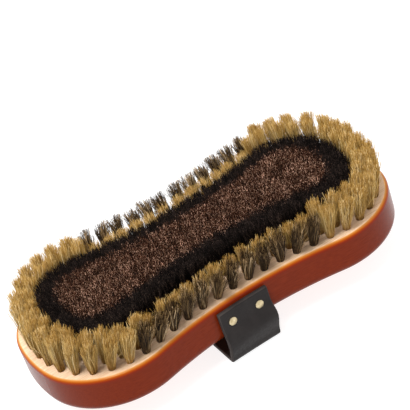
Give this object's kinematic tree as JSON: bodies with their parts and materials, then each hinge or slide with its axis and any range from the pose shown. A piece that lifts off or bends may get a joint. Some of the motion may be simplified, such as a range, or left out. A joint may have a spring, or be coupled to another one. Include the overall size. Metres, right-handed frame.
{
  "type": "clothes brush",
  "caption": "Waisted wooden brush block with rows of blond, dark, black and brown hair tufts and a nailed leather hand strap across its back.",
  "frame": {"origin": "centre of the brush's plan, on the surface it lies on: the outer face of the strap's crown", "axes": "+X along the block, +Y across it from the sharply bent side of the strap to the softly bent side, +Z out of the tufted face, so the brush lies bristles up on its strap"},
  "size_m": [0.2, 0.101, 0.0559],
  "materials": {
    "wood": "satin lacquer, bare on the tufted face",
    "leather": "smooth, dull sheen",
    "nail_brass": "satin",
    "blond_hair": "matt natural hair",
    "dark_hair": "matt natural hair",
    "black_hair": "matt natural hair",
    "brown_hair": "matt natural hair"
  },
  "bodies": {
    "root": {"wooden_block": "wood", "hand_strap": "leather", "strap_nail_front_left": "nail_brass", "strap_nail_front_right": "nail_brass", "strap_nail_rear_left": "nail_brass", "strap_nail_rear_right": "nail_brass", "outer_blond_tufts_left_end": "blond_hair", "outer_blond_tufts_right_end": "blond_hair", "outer_dark_tufts_front": "dark_hair", "outer_dark_tufts_rear": "dark_hair", "second_row_blond_tufts_ends": "blond_hair", "second_row_blond_tufts_waist": "blond_hair", "black_tufts_outer_row": "black_hair", "black_tufts_middle_row": "black_hair", "black_tufts_inner_row": "black_hair", "brown_tufts_outer_row": "brown_hair", "brown_tufts_middle_row": "brown_hair", "brown_tufts_inner_row": "brown_hair", "brown_tufts_centre_line": "brown_hair", "brown_tufts_lobe_fill": "brown_hair"}
  },
  "joints": []
}
